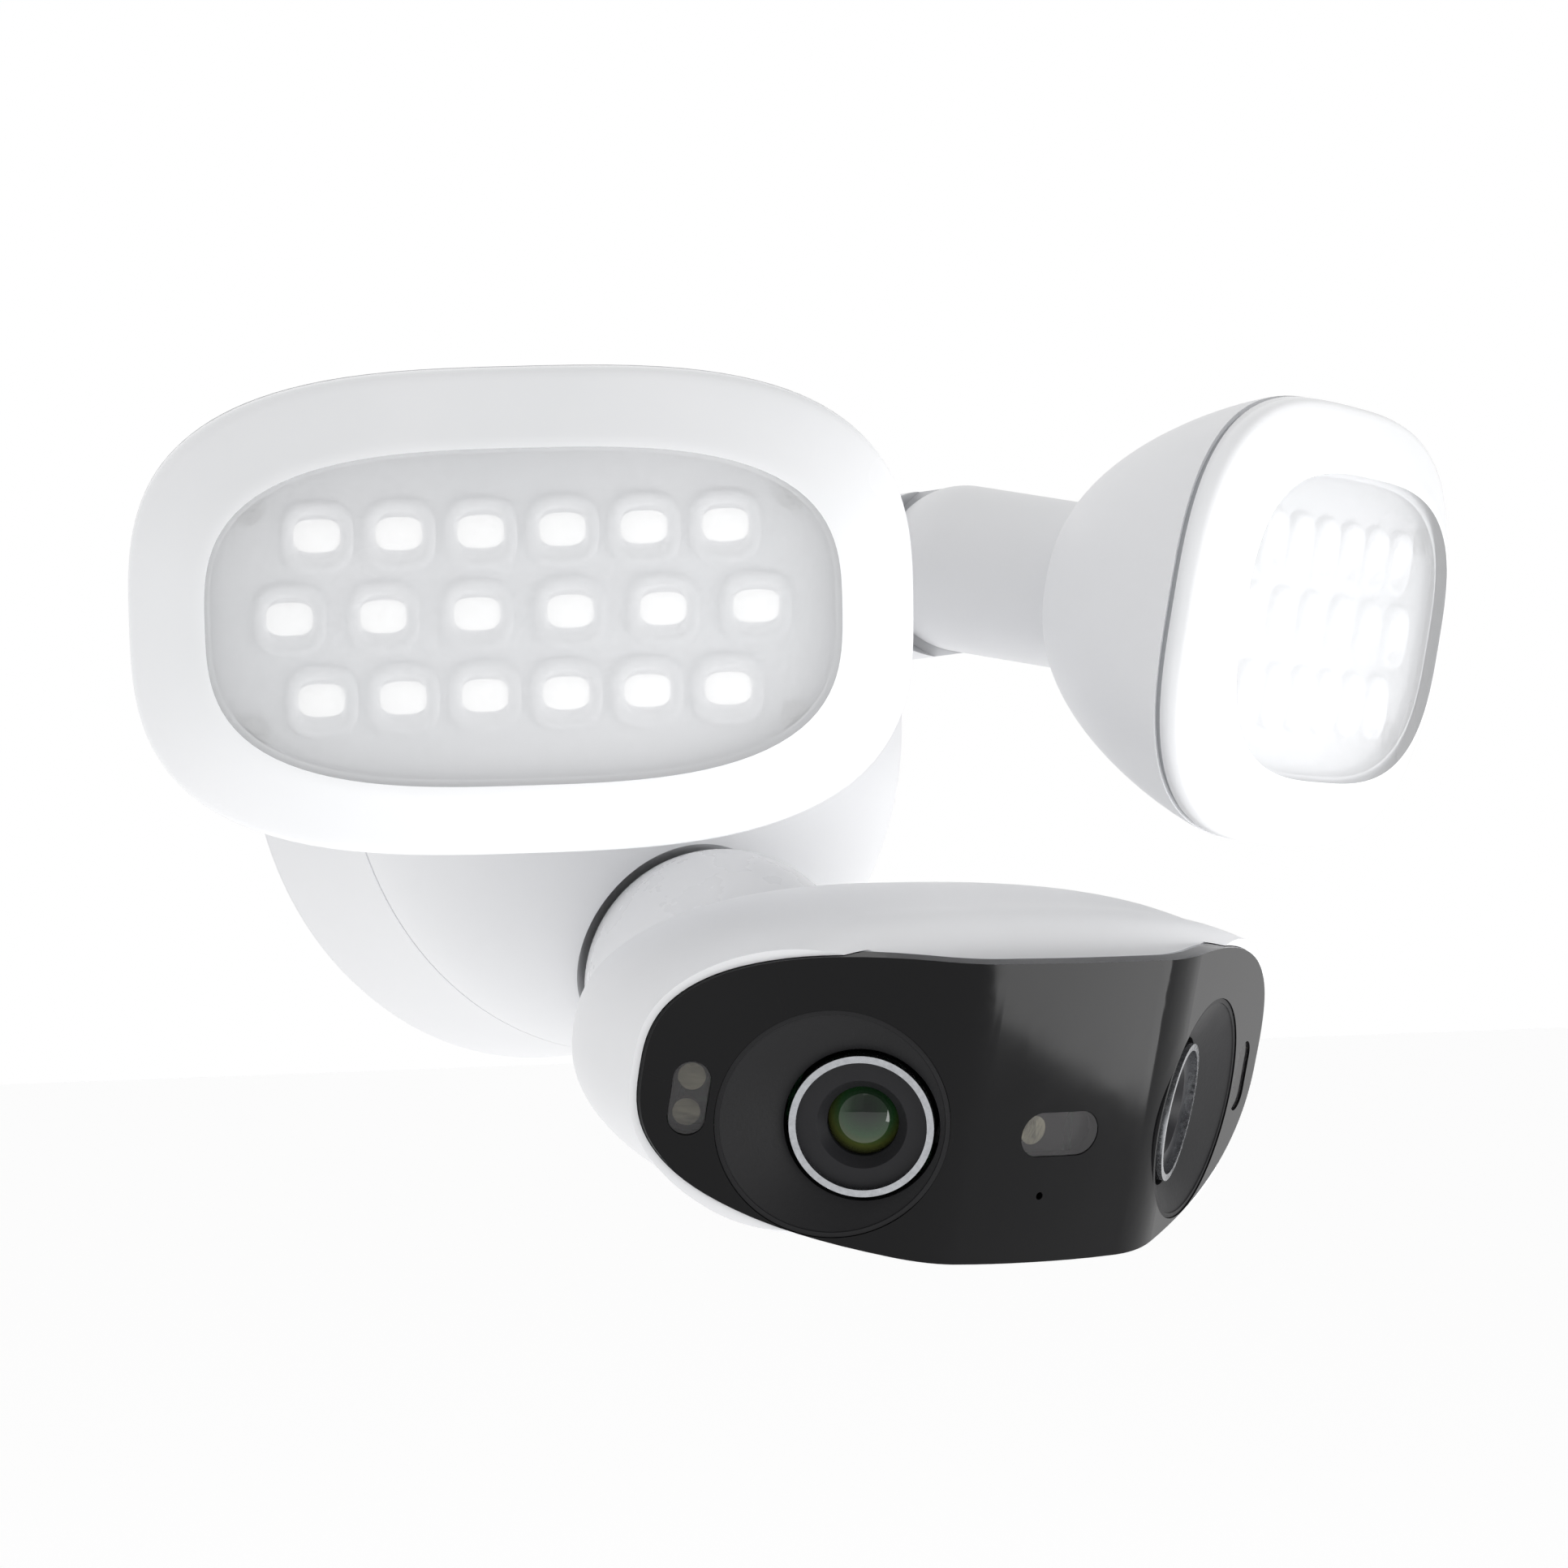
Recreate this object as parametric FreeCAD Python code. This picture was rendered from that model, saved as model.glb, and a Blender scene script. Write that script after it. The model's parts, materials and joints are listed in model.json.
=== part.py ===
"""Floodlight security camera: round wall canopy, two swivelling lamp heads, twin-lens camera head.

Frame: millimetres, +X to the right of someone facing the device, +Y into the wall, +Z up.
The origin is the centre of the canopy's rear edge, on the wall.
Each sub-part is a separate solid, or a group of separate identical solids, in its own STEP file.
"""
import FreeCAD, Part
import math
import os

V = FreeCAD.Vector
AXIS_X = V(1, 0, 0)
AXIS_Y = V(0, 1, 0)
AXIS_Z = V(0, 0, 1)

# ---------------------------------------------------------------- driving dimensions
# gaps and fits
JOINT_GAP = 0.3          # between bodies that move on each other
RUNNING_FIT = 0.05       # radial play of a pin or shank in its bore
PLAY = 0.1               # radial play of a fixed insert in its opening

# canopy
CANOPY_R = 65.0          # rear edge, covers a 4 inch outlet box
SEAM_R = 62.5            # front edge of the drum, where the dome begins
GASKET_T = 1.8
DRUM_FRONT = 32.2        # distance of the drum's front face from the wall
SEAL_T = 0.5
DOME_H = 28.8            # height of the elliptical dome above its rim
WALL = 2.6
PLATE_T = 1.6
BACK_WALL_Y = 10.0       # rear face of the drum's inner wall
BACK_WALL_T = 2.5

# lamp heads
LAMP_X = 88.0            # centre of the optics plane
LAMP_Y = -135.4
LAMP_Z = 18.6
LAMP_YAW = 29.7
LAMP_PITCH = 9.3
LAMP_ROLL = 1.8
LAMP_A = 66.5            # half width and half height of the outline
LAMP_B = 41.5
LAMP_N = 3.0             # superellipse exponent of the outline
RIM_Y = 5.0              # rim of the bowl behind the optics plane
BOWL_D = 45.5
BOWL_WALL = 2.6
COVER_WALL = 2.2
PLATEAU_IN = 12.0        # width of the cover's bevel
PLATEAU_Y = -5.0
ROWS = 3
COLUMNS = 6
OUTER_ROW_PITCH = 13.8
MIDDLE_ROW_PITCH = 15.8
ROW_SPACING = 14.0
OPTIC_R = 6.25

# lamp arm and knuckle
ARM_R = 16.0
PIVOT_BACK = 73.4        # pivot behind the optics plane
BEND = 15.8              # angle between shoulder and arm
LAP_R = 18.0             # radius swept by the half-lap cheeks
COLLAR_AT = 25.0         # swivel seam behind the pivot
COLLAR_R = 19.0
COLLAR_L = 14.0
SHANK_R = 10.0
NUT_R = 15.0
NUT_T = 4.0
BOLT_R = 3.0

# camera head
HEAD_Y = -159.0          # midpoint between the lens centres
HEAD_Z = -68.9
HEAD_PITCH = 15.7
HEAD_A = 69.0            # half width of the shell
HEAD_TOP = 33.1
HEAD_BOTTOM = -23.7
HEAD_BACK = 65.0
HEAD_CORNER = 35.0       # plan radius of the rear corners
HEAD_EDGE = 12.0         # radius of the rear edges, seen from the side
HEAD_WALL = 2.5
COVER_LIP = 1.2          # shell lip left around the front cover
COVER_T = 3.0
LENS_X = 34.6
LENS_YAW = 40.15
LOBE_YAW = 33.3
LOBE_X = 22.5            # where the flat front turns into the lens lobes
LOBE_Y = -10.2
BEZEL_R = 20.2
BEZEL_BACK_R = 14.4
RING_R = 12.5

# neck
BALL_Y = -66.0
BALL_Z = -49.0
BALL_R = 26.0
SCOOP_R = 27.6
CUP_T = 2.4
SLOT_HALF = 9.0

BODIES = {}


# ---------------------------------------------------------------- helpers
def place(shape, frame):
    """Copy of a shape moved from its local frame to the device frame."""
    moved = shape.copy()
    moved.Placement = frame.multiply(shape.Placement)
    return moved


def turn(axis, degrees):
    return FreeCAD.Placement(V(0, 0, 0), FreeCAD.Rotation(axis, degrees))


def shift(x, y, z):
    return FreeCAD.Placement(V(x, y, z), FreeCAD.Rotation())


def box(x0, x1, y0, y1, z0, z1):
    return Part.makeBox(x1 - x0, y1 - y0, z1 - z0, V(x0, y0, z0))


def rod(radius, start, axis, length):
    return Part.makeCylinder(radius, length, start, axis)


def tube(outer, inner, start, axis, length):
    return rod(outer, start, axis, length).cut(rod(inner, start, axis, length))


def fuse(shapes):
    return shapes[0].fuse(shapes[1:]).removeSplitter() if len(shapes) > 1 else shapes[0]


def oval(a, b, n, y, mid_z=0.0, count=32):
    """Closed smooth superellipse in the plane at depth y."""
    points = []
    for k in range(count):
        t = 2 * math.pi * k / count
        theta = math.atan2(b * math.sin(t), a * math.cos(t))
        c = math.cos(theta)
        s = math.sin(theta)
        r = (abs(c / a) ** n + abs(s / b) ** n) ** (-1.0 / n)
        points.append(V(r * c, y, mid_z + r * s))
    curve = Part.BSplineCurve()
    curve.interpolate(Points=points, PeriodicFlag=True)
    return Part.Wire([curve.toShape()])


def loft(sections, ruled=False):
    """Solid through (y, half width, half height, exponent, middle height) sections."""
    wires = []
    for y, a, b, n, mid_z in sections:
        wires.append(oval(a, b, n, y, mid_z))
    return Part.makeLoft(wires, True, ruled)


def stadium(length, width, thickness):
    """Flat slot-shaped plate, long along X, centred, from y = 0 to y = thickness."""
    r = width / 2.0
    h = length / 2.0 - r
    middle = box(-h, h, 0, thickness, -r, r)
    ends = [rod(r, V(sign * h, 0, 0), AXIS_Y, thickness) for sign in (-1, 1)]
    return fuse([middle] + ends)


def screw(radius, head_r, head_t, length):
    """Screw along +Y: head from y = -head_t to 0, shank from 0 to length, cross recess in the head."""
    body = rod(head_r, V(0, -head_t, 0), AXIS_Y, head_t)
    body = body.fuse(rod(radius, V(0, 0, 0), AXIS_Y, length))
    bar = head_r * 0.6
    slot = head_r * 0.14
    cross = box(-bar, bar, -head_t, -head_t * 0.5, -slot, slot)
    cross = cross.fuse(box(-slot, slot, -head_t, -head_t * 0.5, -bar, bar))
    return body.cut(cross).removeSplitter()


def emit(name, shape):
    """Check one node and write it."""
    solids = shape.Solids
    if not solids:
        raise RuntimeError(name + " has no solid")
    out = solids[0] if len(solids) == 1 else Part.makeCompound(solids)
    if not out.isValid():
        print("invalid:", name)
    out.exportStep("parts/" + name + ".step")
    BODIES[name] = out
    print("%-26s %2d solid(s) %9.0f mm3" % (name, len(solids), out.Volume))


# ---------------------------------------------------------------- local frames
def lamp_frame(side):
    """Optics plane of a lamp: local -Y looks out of the face. side is -1 left, +1 right."""
    frame = shift(side * LAMP_X, LAMP_Y, LAMP_Z)
    frame = frame.multiply(turn(AXIS_Z, side * LAMP_YAW))
    frame = frame.multiply(turn(AXIS_X, LAMP_PITCH))
    return frame.multiply(turn(AXIS_Y, side * LAMP_ROLL))


def knuckle_frame(side):
    """Pivot of a lamp: local X is the pivot pin, local +Y runs back along the shoulder."""
    frame = lamp_frame(side).multiply(shift(0, PIVOT_BACK, 0))
    return frame.multiply(turn(AXIS_X, -BEND))


def head_frame():
    return shift(0, HEAD_Y, HEAD_Z).multiply(turn(AXIS_X, HEAD_PITCH))


def lens_frame(side):
    return head_frame().multiply(lens_local(side))


def lens_local(side):
    return shift(side * LENS_X, 0, 0).multiply(turn(AXIS_Z, side * LENS_YAW))


def ball_in_head():
    """Centre of the neck ball, given in the head's frame."""
    return head_frame().inverse().multVec(V(0, BALL_Y, BALL_Z))


# ---------------------------------------------------------------- canopy
BOSSES = [(0.0, 51.5), (-36.0, -37.0), (36.0, -37.0)]
BOSS_R = 5.0
POSTS = [(-35.0, -14.0), (35.0, -14.0), (-35.0, 32.0), (35.0, 32.0)]
POST_R = 3.5
BOARD_Y = 17.0
BOARD_T = 1.6
GLAND_Z = -33.0
GLAND_R = 9.0
FIX_Y = 6.0              # radial fixing screws, behind the drum's inner wall
SLOT_X = 44.45           # middle of each outlet-box screw slot
SLOT_L = 11.0
SLOT_W = 4.8
PLATE_R = 56.0
WIRE_HOLE_R = 20.0
WIRE_HOLE_Z = -27.0
TAB_X = 58.0
TAB_HALF = 6.0


def mounting_plate():
    plate = rod(PLATE_R, V(0, 0, 0), V(0, -1, 0), PLATE_T)
    plate = plate.cut(rod(WIRE_HOLE_R, V(0, 1, WIRE_HOLE_Z), V(0, -1, 0), 4.0))
    for side in (-1, 1):
        slot = stadium(SLOT_L, SLOT_W, 4.0)
        slot.Placement = shift(side * SLOT_X, -3.0, 0)
        plate = plate.cut(slot)
        arm = box(min(side * 50, side * TAB_X), max(side * 50, side * TAB_X), -PLATE_T, 0, -TAB_HALF, TAB_HALF)
        inner = side * (TAB_X - PLATE_T)
        tab = box(min(inner, side * TAB_X), max(inner, side * TAB_X), -BACK_WALL_Y + 0.6, 0, -TAB_HALF, TAB_HALF)
        tab = tab.cut(rod(1.5, V(side * 50, -FIX_Y, 0), V(side, 0, 0), 12.0))
        plate = fuse([plate, arm, tab])
    return plate


def drum_r(y):
    """Outer radius of the drum at a distance y from the wall."""
    return CANOPY_R + (SEAM_R - CANOPY_R) * (y - GASKET_T) / (DRUM_FRONT - GASKET_T)


def canopy_ring():
    length = DRUM_FRONT - GASKET_T
    toward = V(0, -1, 0)
    start = V(0, -GASKET_T, 0)
    outer = Part.makeCone(CANOPY_R, SEAM_R, length, start, toward)
    inner = Part.makeCone(CANOPY_R - WALL, SEAM_R - WALL, length, start, toward)
    ring = outer.cut(inner)
    wall_r = drum_r(BACK_WALL_Y) - WALL + 0.5
    wall = rod(wall_r, V(0, -BACK_WALL_Y, 0), toward, BACK_WALL_T)
    parts = [ring, wall]
    for x, z in BOSSES:
        parts.append(rod(BOSS_R, V(x, -BACK_WALL_Y, z), toward, DRUM_FRONT - SEAL_T - BACK_WALL_Y))
    for x, z in POSTS:
        parts.append(rod(POST_R, V(x, -BACK_WALL_Y, z), toward, BOARD_Y - BACK_WALL_Y))
    body = fuse(parts)
    for x, z in BOSSES:
        body = body.cut(rod(2.2, V(x, 0, z), toward, 40.0))
        body = body.cut(rod(4.0, V(x, 0, z), toward, BACK_WALL_Y + 4.0))
    for x, z in POSTS:
        body = body.cut(rod(1.25, V(x, -BACK_WALL_Y - BACK_WALL_T, z), toward, 10.0))
    body = body.cut(rod(GLAND_R, V(0, 0, GLAND_Z), toward, 20.0))
    for side in (-1, 1):
        body = body.cut(rod(1.8, V(side * 55, -FIX_Y, 0), V(side, 0, 0), 12.0))
        body = body.cut(rod(3.4, V(side * (drum_r(FIX_Y) - 1.3), -FIX_Y, 0), V(side, 0, 0), 5.0))
    return body


def dome_solid(inset):
    """Half ellipsoid in front of the seam, its wall moved in by inset."""
    rim_y = -(DRUM_FRONT + SEAL_T)
    ellipse = Part.Ellipse(V(0, rim_y, 0), SEAM_R - inset, DOME_H - inset)
    arc = Part.ArcOfEllipse(ellipse, -math.pi / 2, 0.0)
    apex = V(0, rim_y - DOME_H + inset, 0)
    edge = V(SEAM_R - inset, rim_y, 0)
    lines = [Part.makeLine(edge, V(0, rim_y, 0)), Part.makeLine(V(0, rim_y, 0), apex)]
    face = Part.Face(Part.Wire([arc.toShape()] + lines))
    return face.revolve(V(0, 0, 0), AXIS_Y, 360)


def canopy_dome():
    rim_y = -(DRUM_FRONT + SEAL_T)
    ball = V(0, BALL_Y, BALL_Z)
    outer = dome_solid(0.0)
    inner = dome_solid(WALL)
    shell = outer.cut(inner)
    cup = Part.makeSphere(SCOOP_R + CUP_T, ball).common(outer)
    spigot_r = SEAM_R - WALL - 0.2
    root = tube(spigot_r + 1.5, SEAM_R - 2 * WALL, V(0, rim_y - 2.0, 0), AXIS_Y, 2.0).common(outer)
    spigot = tube(spigot_r, SEAM_R - 2 * WALL, V(0, rim_y - 1.0, 0), AXIS_Y, 5.5).fuse(root)
    spigot = spigot.cut(box(-32, 32, rim_y, 0, -SEAM_R, -38))
    parts = [shell, cup, spigot]
    toward = V(0, -1, 0)
    for x, z in BOSSES:
        parts.append(rod(BOSS_R, V(x, rim_y + SEAL_T + 0.2, z), toward, 26.0).common(rod(90, V(0, 0, 0), toward, 90)))
    for side in (-1, 1):
        frame = knuckle_frame(side)
        collar = rod(COLLAR_R, V(0, COLLAR_AT + JOINT_GAP, 0), AXIS_Y, COLLAR_L)
        parts.append(place(collar, frame))
    body = parts[0].fuse(parts[1:])
    limit = outer.fuse(rod(spigot_r, V(0, rim_y, 0), AXIS_Y, 8.0))
    for side in (-1, 1):
        limit = limit.fuse(place(rod(COLLAR_R, V(0, COLLAR_AT + JOINT_GAP, 0), AXIS_Y, COLLAR_L), knuckle_frame(side)))
    body = body.common(limit)
    body = body.cut(Part.makeSphere(SCOOP_R, ball))
    for x, z in BOSSES:
        body = body.cut(rod(1.7, V(x, rim_y + 2.0, z), toward, 14.0))
    for side in (-1, 1):
        frame = knuckle_frame(side)
        bore = rod(SHANK_R + RUNNING_FIT, V(0, COLLAR_AT - 5, 0), AXIS_Y, COLLAR_L + 12)
        seat = rod(ARM_R + 0.6, V(0, 0, 0), AXIS_Y, COLLAR_AT + JOINT_GAP)
        body = body.cut(place(bore, frame)).cut(place(seat, frame))
        behind = rod(NUT_R + 1.0, V(0, COLLAR_AT + JOINT_GAP + COLLAR_L, 0), AXIS_Y, 12)
        body = body.cut(place(behind, frame))
    body = body.cut(bolt_slot())
    solids = sorted(body.Solids, key=lambda s: -s.Volume)
    return solids[0].removeSplitter()


PAN_LIMIT = 25.0
DRAW_R = 3.0
DRAW_CAP_R = 6.0
DRAW_NUT_R = 5.2
DRAW_NUT_T = 3.0


def bolt_slot():
    """Slot in the cup for the ball's draw bolt over its pan travel."""
    cuts = []
    steps = 5
    for k in range(-steps, steps + 1):
        angle = PAN_LIMIT * k / steps
        pin = rod(DRAW_R + 0.5, V(0, 0, 0), AXIS_Y, 40.0)
        cuts.append(place(pin, shift(0, BALL_Y, BALL_Z).multiply(turn(AXIS_Z, angle))))
    return cuts[0].fuse(cuts[1:])


def canopy():
    emit("mounting_plate", mounting_plate())
    gasket_in = CANOPY_R - 6.5
    emit("wall_gasket", tube(CANOPY_R - 0.6, gasket_in, V(0, 0, 0), V(0, -1, 0), GASKET_T))
    emit("canopy_ring", canopy_ring())
    emit("canopy_dome", canopy_dome())
    seal = tube(SEAM_R - 0.4, SEAM_R - WALL, V(0, -DRUM_FRONT, 0), V(0, -1, 0), SEAL_T)
    emit("canopy_seal", seal)

    screws = []
    for x, z in BOSSES:
        one = screw(1.7, 3.6, 2.4, 26.0)
        one.Placement = shift(x, -(BACK_WALL_Y + 4.0), z).multiply(turn(AXIS_X, 180))
        screws.append(one)
    emit("canopy_screws", Part.makeCompound(screws))

    fixings = []
    for side in (-1, 1):
        one = screw(1.5, 3.2, 1.2, 9.0)
        one.Placement = shift(side * (drum_r(FIX_Y) - 1.3), -FIX_Y, 0).multiply(turn(AXIS_Z, side * 90))
        fixings.append(one)
    emit("canopy_fixing_screws", Part.makeCompound(fixings))

    flange = rod(GLAND_R + 2.5, V(0, -BACK_WALL_Y - BACK_WALL_T, GLAND_Z), V(0, -1, 0), 2.0)
    back_flange = rod(GLAND_R + 2.0, V(0, -BACK_WALL_Y, GLAND_Z), AXIS_Y, 1.5)
    plug = rod(GLAND_R, V(0, -BACK_WALL_Y, GLAND_Z), V(0, -1, 0), BACK_WALL_T)
    gland = fuse([plug, flange, back_flange]).cut(rod(4.0, V(0, 0, GLAND_Z), V(0, -1, 0), 20.0))
    emit("cable_grommet", gland)


def power_supply():
    front = -(BOARD_Y + BOARD_T)
    board = box(-40, 40, front, -BOARD_Y, -19, 37)
    for x, z in POSTS:
        board = board.cut(rod(1.6, V(x, 0, z), V(0, -1, 0), 30.0))
    emit("driver_board", board)
    toward = V(0, -1, 0)
    parts = [box(-13, 13, front - 16, front, 4, 26)]
    parts.append(box(17, 30, front - 9, front, 0, 12))
    for x in (-30.0, -19.5):
        parts.append(rod(4.6, V(x, front, 12), toward, 12.0))
    parts.append(tube(6.5, 2.5, V(-24, front, -4), toward, 6.0))
    for x in (16.0, 25.0):
        parts.append(box(x, x + 6, front - 4, front, -13, -4))
    parts.append(rod(3.2, V(0, front, -6), toward, 9.0))
    emit("driver_components", Part.makeCompound(parts))
    block = box(-13, 13, front - 8, front, -18.5, -10.5)
    for k in (-1, 0, 1):
        block = block.cut(rod(2.0, V(k * 8, front - 9, -14.5), AXIS_Y, 5.0))
        block = block.cut(box(k * 8 - 2.2, k * 8 + 2.2, front - 4, front - 1.5, -19, -13))
    emit("terminal_block", block)
    screws = []
    for x, z in POSTS:
        one = screw(1.2, 2.6, 1.6, 5.5)
        one.Placement = shift(x, front, z)
        screws.append(one)
    emit("board_screws", Part.makeCompound(screws))


# ---------------------------------------------------------------- lamp heads
BOWL_STEPS = 9
BOWL_END_DEG = 80.0


def bowl_sections(inset):
    """Sections of the bowl from its rim to its pole, its wall moved in by inset."""
    sections = []
    for k in range(BOWL_STEPS):
        t = math.radians(BOWL_END_DEG * k / (BOWL_STEPS - 1))
        size = math.cos(t) ** (2 / 2.2)
        depth = math.sin(t) ** (2 / 1.2)
        share = k / (BOWL_STEPS - 1.0)
        n = LAMP_N + (2.3 - LAMP_N) * share
        a = (LAMP_A - inset) * size
        b = (LAMP_B - inset) * size
        sections.append((RIM_Y + (BOWL_D - inset) * depth, a, b, n, 0.0))
    return sections


LAMP_POSTS = [(sx * 46.0, sz * 19.0) for sx in (-1, 1) for sz in (-1, 1)]
TRAY_T = 1.2
LED_BOARD_Y = 2.2
LED_BOARD_T = 1.6
SPIGOT_R = 8.0


def lamp_housing(bowl):
    inner = loft(bowl_sections(BOWL_WALL))
    mouth = loft([(RIM_Y - 1, LAMP_A - BOWL_WALL, LAMP_B - BOWL_WALL, LAMP_N, 0.0),
                  (RIM_Y + 0.2, LAMP_A - BOWL_WALL, LAMP_B - BOWL_WALL, LAMP_N, 0.0)])
    shell = bowl.cut(inner).cut(mouth)
    post_y = LED_BOARD_Y + LED_BOARD_T
    posts = []
    for x, z in LAMP_POSTS:
        post = rod(3.6, V(x, post_y, z), AXIS_Y, 34.0)
        rest = post.common(bowl.fuse(box(-60, 60, post_y, RIM_Y + 0.1, -30, 30)))
        posts.append(rest)
    body = shell.fuse(posts)
    for x, z in LAMP_POSTS:
        body = body.cut(rod(1.25, V(x, 0, z), AXIS_Y, post_y + 8.0))
    body = body.cut(rod(SPIGOT_R, V(0, 20, 0), AXIS_Y, 40))
    solids = sorted(body.Solids, key=lambda s: -s.Volume)
    return solids[0]


def lamp_cover():
    def layers(inset):
        a = LAMP_A - inset
        b = LAMP_B - inset
        return [
            (RIM_Y - 1.1, a, b, LAMP_N, 0.0),
            (0.8 + inset, a - 0.2, b - 0.2, LAMP_N, 0.0),
            (-0.5 + inset, a - 1.6, b - 1.6, LAMP_N, 0.0),
            (PLATEAU_Y + 0.5 + inset, a - PLATEAU_IN + 1.2, b - PLATEAU_IN + 1.2, LAMP_N, 0.0),
            (PLATEAU_Y + inset, a - PLATEAU_IN - 0.6, b - PLATEAU_IN - 0.6, LAMP_N, 0.0),
        ]
    return loft(layers(0.0), True).cut(loft(layers(COVER_WALL), True))


def optic_places():
    places = []
    for row in range(ROWS):
        pitch = MIDDLE_ROW_PITCH if row == 1 else OUTER_ROW_PITCH
        for column in range(COLUMNS):
            x = (column - (COLUMNS - 1) / 2.0) * pitch
            places.append((x, (1 - row) * ROW_SPACING))
    return places


def lens_tray():
    """Plate of moulded optics: a raised rounded-square rim and a shallow dish at each emitter."""
    body = loft([(0.0, 58.0, 32.5, 3.4, 0.0), (TRAY_T, 58.0, 32.5, 3.4, 0.0)])
    rims = []
    cuts = []
    for x, z in optic_places():
        spot = shift(x, 0, z)
        rims.append(place(loft([(-1.4, OPTIC_R, OPTIC_R, 3.2, 0.0), (0.2, OPTIC_R, OPTIC_R, 3.2, 0.0)]), spot))
        cuts.append(place(Part.makeCone(4.6, 3.0, 2.2, V(0, -1.4, 0), AXIS_Y), spot))
    body = body.fuse(rims).cut(Part.makeCompound(cuts))
    for x, z in LAMP_POSTS:
        body = body.cut(rod(1.6, V(x, -1, z), AXIS_Y, 4.0))
    return body


def lamp_arm(side, bowl):
    """Arm behind the bowl. It ends in the half-lap cheek on the side towards the canopy's middle."""
    arm = rod(ARM_R, V(0, 20, 0), AXIS_Y, PIVOT_BACK - 20)
    arm = arm.fuse(Part.makeSphere(ARM_R, V(0, PIVOT_BACK, 0)))
    outer_half = box(0, 40, PIVOT_BACK - 40, PIVOT_BACK + 40, -40, 40)
    if side < 0:
        outer_half = outer_half.mirror(V(0, 0, 0), AXIS_X)
    lap = rod(LAP_R, V(-side * JOINT_GAP / 2, PIVOT_BACK, 0), V(side, 0, 0), 30)
    arm = arm.cut(bowl).cut(lap)
    solids = sorted(arm.Solids, key=lambda s: -s.Volume)
    arm = solids[0]
    spigot = rod(SPIGOT_R, V(0, 41, 0), AXIS_Y, 9.0)
    arm = arm.fuse(spigot).removeSplitter()
    arm = arm.cut(rod(4.0, V(0, 30, 0), AXIS_Y, PIVOT_BACK - LAP_R - 32))
    return arm.cut(rod(BOLT_R + RUNNING_FIT, V(-side * 11.3, PIVOT_BACK, 0), V(side, 0, 0), 30))


def pivot_bolt(side):
    bolt = rod(BOLT_R, V(-side * 11, PIVOT_BACK, 0), V(side, 0, 0), 20.0)
    head = rod(5.0, V(side * 9.0, PIVOT_BACK, 0), V(side, 0, 0), 3.6)
    sides = 6
    hexagon = [V(side * 10.4, PIVOT_BACK + 2.3 * math.cos(k * math.pi / 3), 2.3 * math.sin(k * math.pi / 3))
               for k in range(sides)]
    socket = Part.Face(Part.makePolygon(hexagon + hexagon[:1])).extrude(V(side * 4, 0, 0))
    return bolt.fuse(head).removeSplitter().cut(socket)


def knuckle(side):
    """Swivelling half of the joint, in the knuckle frame."""
    body = rod(ARM_R, V(0, 0, 0), AXIS_Y, COLLAR_AT).fuse(Part.makeSphere(ARM_R, V(0, 0, 0)))
    lap = rod(LAP_R, V(side * JOINT_GAP / 2, 0, 0), V(-side, 0, 0), 30)
    body = body.cut(lap)
    shank = rod(SHANK_R, V(0, COLLAR_AT - 0.5, 0), AXIS_Y, COLLAR_L + JOINT_GAP * 2 + NUT_T + 2.0)
    body = body.fuse(shank).removeSplitter()
    body = body.cut(rod(4.5, V(0, LAP_R + 1.5, 0), AXIS_Y, 40))
    body = body.cut(rod(BOLT_R, V(-side, 0, 0), V(side, 0, 0), 30))
    return body.cut(rod(5.0 + 0.5, V(side * (9.0 - JOINT_GAP), 0, 0), V(side, 0, 0), 20))


def swivel_nut():
    start = COLLAR_AT + COLLAR_L + JOINT_GAP * 2
    nut = rod(NUT_R, V(0, start, 0), AXIS_Y, NUT_T)
    for k in range(6):
        notch = box(-1.5, 1.5, start - 1, start + NUT_T + 1, NUT_R - 2.0, NUT_R + 2)
        notch.Placement = turn(AXIS_Y, k * 60)
        nut = nut.cut(notch)
    return nut.cut(rod(SHANK_R, V(0, start - 1, 0), AXIS_Y, NUT_T + 2))


def ring_between(y0, y1, outer, inner):
    """Flat ring with the lamp's outline, given by how far its edges lie inside that outline."""
    rings = []
    for inset, over in ((outer, 0.0), (inner, 1.0)):
        a = LAMP_A - inset
        b = LAMP_B - inset
        rings.append(loft([(y0 - over, a, b, LAMP_N, 0.0), (y1 + over, a, b, LAMP_N, 0.0)]))
    return rings[0].cut(rings[1])


def lamp_common(bowl):
    """Parts that both lamps share, in the lamp's frame."""
    back = LED_BOARD_Y + LED_BOARD_T
    board = loft([(LED_BOARD_Y, 57.0, 31.5, 3.4, 0.0), (back, 57.0, 31.5, 3.4, 0.0)])
    for x, z in LAMP_POSTS:
        board = board.cut(rod(1.6, V(x, 0, z), AXIS_Y, 6.0))
    chips = [box(x - 1.8, x + 1.8, TRAY_T + 0.2, LED_BOARD_Y, z - 1.8, z + 1.8) for x, z in optic_places()]
    screws = []
    for x, z in LAMP_POSTS:
        one = screw(1.2, 2.6, 1.4, 9.0)
        one.Placement = shift(x, 0, z)
        screws.append(one)
    return {
        "lamp_housing": lamp_housing(bowl),
        "lamp_seal": ring_between(RIM_Y - 1.0, RIM_Y, 0.9, 2.5),
        "lamp_cover": lamp_cover(),
        "lens_tray": lens_tray(),
        "led_board": board,
        "led_chips": Part.makeCompound(chips),
        "lamp_screws": Part.makeCompound(screws),
    }


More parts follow.
